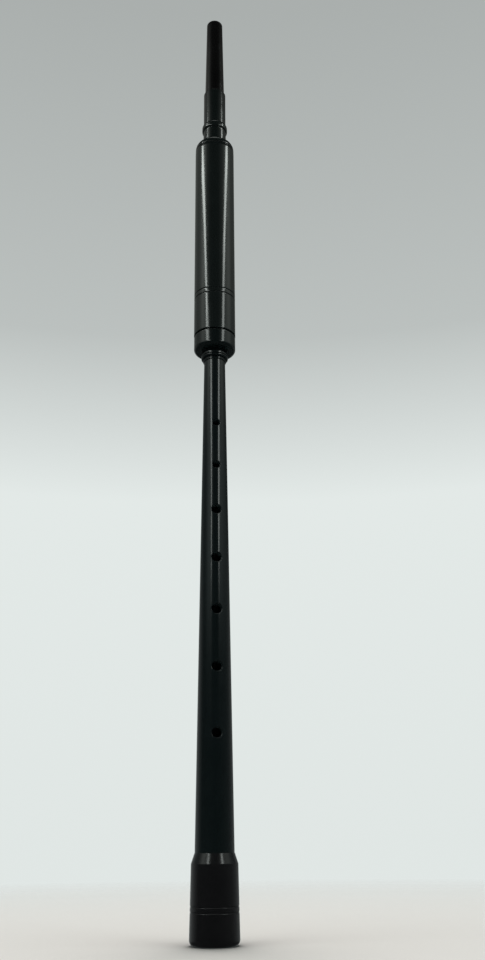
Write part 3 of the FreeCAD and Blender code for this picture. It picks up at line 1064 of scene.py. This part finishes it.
HIGHER_LIGHTS = (  # table, tint, and the elevations over which it takes over from the one below
    (EYE_LIGHT, (0.86, 1.0, 0.98), 11.0, 19.5),
    (HIGH_LIGHT, (0.93, 1.0, 0.93), 24.0, 32.0),
    (TOP_LIGHT, (1.0, 1.0, 0.95), 41.0, 44.5),
)
ROOF = (0.02, 0.02, 0.02)
FRONT_ROOF = (1.1, 1.15, 1.1)  # the bright part of the roof, steeply above the camera's side
GROUND = (0.05, 0.055, 0.055)


def ramp(tree, value, table):
    """A colour ramp over a table of (value, grey)."""
    table = sorted(table)
    first, last = table[0][0], table[-1][0]
    made = add(tree, "ShaderNodeValToRGB", {"Fac": remap(tree, value, first, last, 0.0, 1.0)})
    stops = made.color_ramp.elements
    while len(stops) < len(table):
        stops.new(0.5)
    for stop, (at, grey) in zip(stops, table):
        stop.position = (at - first) / (last - first)
        stop.color = (grey, grey, grey, 1)
    return made.outputs["Color"]


def round_ramp(tree, bearing, table):
    """A colour ramp that goes all the way round, closed behind the camera."""
    behind = dict(table)[-180]
    return ramp(tree, bearing, (*table, (180, behind)))


def tinted(tree, grey, tint):
    """A grey times a tint."""
    mix = add(tree, "ShaderNodeMix", data_type="RGBA", blend_type="MULTIPLY")
    mix.inputs["Factor"].default_value = 1.0
    tree.links.new(grey, mix.inputs[6])
    mix.inputs[7].default_value = (*tint, 1)
    return mix.outputs[2]


def world():
    """A light tent: a plain pale sweep to the eye, and side walls and a dark opening to a reflection."""
    made = bpy.data.worlds.new("tent")
    bpy.context.scene.world = made
    made.use_nodes = True
    tree = made.node_tree
    background = tree.nodes["Background"]
    turned_back = add(tree, "ShaderNodeVectorRotate", {
        "Vector": add(tree, "ShaderNodeTexCoord").outputs["Generated"],
        "Angle": -math.radians(CAMERA_AZIMUTH),
    }, rotation_type="Z_AXIS")
    split = add(tree, "ShaderNodeSeparateXYZ", {"Vector": turned_back.outputs[0]})
    x, y, z = (split.outputs[k] for k in "XYZ")
    rise = calculate(tree, "DEGREES", calculate(tree, "ARCSINE", z))
    bearing = calculate(tree, "DEGREES", calculate(tree, "ARCTAN2", x, y))
    aside = calculate(tree, "ABSOLUTE", bearing)
    seen = tinted(tree, ramp(tree, rise, SEEN), SEEN_TINT)
    lit = tinted(tree, round_ramp(tree, bearing, LOW_LIGHT), LOW_TINT)
    for table, tint, start, end in HIGHER_LIGHTS:
        walls = tinted(tree, round_ramp(tree, bearing, table), tint)
        lit = blend_colour(tree, remap(tree, rise, start, end, 0.0, 1.0), lit, walls)
    lit = blend_colour(tree, remap(tree, rise, 46.0, 49.5, 0.0, 1.0), lit, ROOF)
    ahead = remap(tree, aside, 80.0, 120.0, 0.0, 1.0)
    front = calculate(tree, "MULTIPLY", ahead, remap(tree, rise, 66.0, 76.0, 0.0, 1.0))
    lit = blend_colour(tree, front, lit, FRONT_ROOF)
    lit = blend_colour(tree, remap(tree, rise, -9.0, -16.0, 0.0, 1.0), lit, GROUND)
    eye = add(tree, "ShaderNodeLightPath").outputs["Is Camera Ray"]
    tree.links.new(blend_colour(tree, eye, lit, seen), background.inputs["Color"])


FLOOR_RINGS = (0.03, 0.1, 0.3, 0.8, 1.6, 3.0)
FLOOR_FADE = (0.05, 0.75)  # from the axis: where the floor starts to fade, and where it has gone
PAPER = ((0.745, 0.725, 0.705), (0.775, 0.755, 0.735))
# painted shadow: the colour that the paper darkens to beside the object's foot
FOOT_PAINTED_SHADOW = (0.30, 0.295, 0.29)


def floor():
    """A pale floor round and behind the object, its colour darkened near the object as a painted shadow; it
    fades into the tent, and can't be seen from below.
    """
    vertices, faces = [(0, 0, 0)], []
    for radius in FLOOR_RINGS:
        vertices += [ring_point(radius / MM, math.tau * j / SEGMENTS, 0) for j in range(SEGMENTS)]
    for j in range(SEGMENTS):
        faces.append((0, 1 + j, 1 + (j + 1) % SEGMENTS))
    for i in range(len(FLOOR_RINGS) - 1):
        this, other = 1 + i * SEGMENTS, 1 + (i + 1) * SEGMENTS
        for j in range(SEGMENTS):
            k = (j + 1) % SEGMENTS
            faces.append((this + j, other + j, other + k, this + k))
    made = piece("floor", vertices, faces)
    paper, tree, shader = material("floor_paper")
    place = object_place(tree)
    shade = blend_colour(tree, noise(tree, place, 900.0, 3.0), *PAPER)
    # painted shadow: where the ambient-occlusion node finds the object close by, the paper's colour is
    # darkened, most at the object's foot
    open_sky = add(tree, "ShaderNodeAmbientOcclusion", {"Distance": 0.20}, samples=16).outputs["AO"]
    shade = blend_colour(tree, remap(tree, open_sky, 0.55, 0.99, 0.0, 1.0), FOOT_PAINTED_SHADOW, shade)
    tree.links.new(shade, shader.inputs["Base Color"])
    shader.inputs["Roughness"].default_value = 0.9
    distance = add(tree, "ShaderNodeVectorMath", {0: place}, operation="LENGTH").outputs["Value"]
    near = remap(tree, distance, *FLOOR_FADE, 1.0, 0.0)
    above = calculate(tree, "SUBTRACT", 1.0, add(tree, "ShaderNodeNewGeometry").outputs["Backfacing"])
    tree.links.new(calculate(tree, "MULTIPLY", near, above), shader.inputs["Alpha"])
    made.data.materials.append(paper)
    made.visible_glossy = False


# ---------------------------------------------------------------- assembly


def install(made, node, body, finish):
    """Gives a piece its material, and puts it on its body in place of its CAD node."""
    made.data.materials.append(finish)
    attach(made, body)
    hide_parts(node)


def main():
    """Builds every piece."""
    camera()
    lights()
    world()
    floor()
    taper = ((stem_radius(SOLE_TOP), SOLE_TOP), (STEM_TOP_RADIUS, STEM_TOP))
    # The black pieces' base colours differ in tint and level to match how each piece looks under the tent's
    # light: partly painted light, the teal cast and each piece's brightness, over the plastic's own black.
    stem_black = black_plastic("stem_black", (0.0045, 0.0082, 0.0090), 0.115, 0.03, taper=taper)
    sole_black = black_plastic("sole_black", (0.0070, 0.0070, 0.0080), 0.16, 0.05)
    barrel_black = black_plastic("barrel_black", (0.0078, 0.0115, 0.0112), 0.085, 0.03)
    cap_black = black_plastic("cap_black", (0.0032, 0.0066, 0.0068), 0.085, 0.03)
    satin_black = black_plastic("mouthpiece_black", (0.0046, 0.0045, 0.0046), 0.10, 0.04)
    inner_black = black_plastic("trap_tube_black", (0.012, 0.012, 0.013), 0.40, 0.10)
    seal = rubber("seal_rubber", (0.012, 0.012, 0.012))
    install(chanter_pipe(), "chanter_pipe", "stem", stem_black)
    install(sole(), "sole", "stem", sole_black)
    install(trap_cap(), "trap_cap", "trap", cap_black)
    install(trap_tube(), "trap_tube", "trap", inner_black)
    install(barrel(), "barrel", "barrel", barrel_black)
    install(mouthpiece(), "mouthpiece", "mouthpiece", satin_black)
    for node, body in (
        ("cap_o_ring", "cap_seal"),
        ("tenon_o_ring_lower", "tenon_seals"),
        ("tenon_o_ring_upper", "tenon_seals"),
        ("mouthpiece_o_ring_lower", "mouthpiece_seals"),
        ("mouthpiece_o_ring_upper", "mouthpiece_seals"),
    ):
        install(o_ring(f"{node}_rubber", node), node, body, seal)
    cane = reed_plastic("reed_blade_plastic")
    hemp = thread_fibre("hemp_thread", (0.42, 0.25, 0.06), (0.68, 0.46, 0.14), 0.3)
    green = thread_fibre("binding_thread", (0.02, 0.06, 0.04), (0.06, 0.14, 0.09), 0.15)
    install(staple(), "reed_staple", "reed", brass("staple_brass"))
    install(blade("reed_blade_front_scraped", -1), "reed_blade_front", "reed", cane)
    install(blade("reed_blade_back_scraped", 1), "reed_blade_back", "reed", cane)
    install(winding("reed_hemp_wound", "reed_hemp", STAPLE_RADIUS), "reed_hemp", "reed", hemp)
    wound = winding("reed_binding_wound", "reed_binding", -low_y("reed_blade_front"))
    install(wound, "reed_binding", "reed", green)
    install(bridle(), "reed_bridle", "reed", rubber("bridle_rubber", (0.015, 0.015, 0.016)))
    bpy.context.scene.view_settings.view_transform = "Standard"


main()
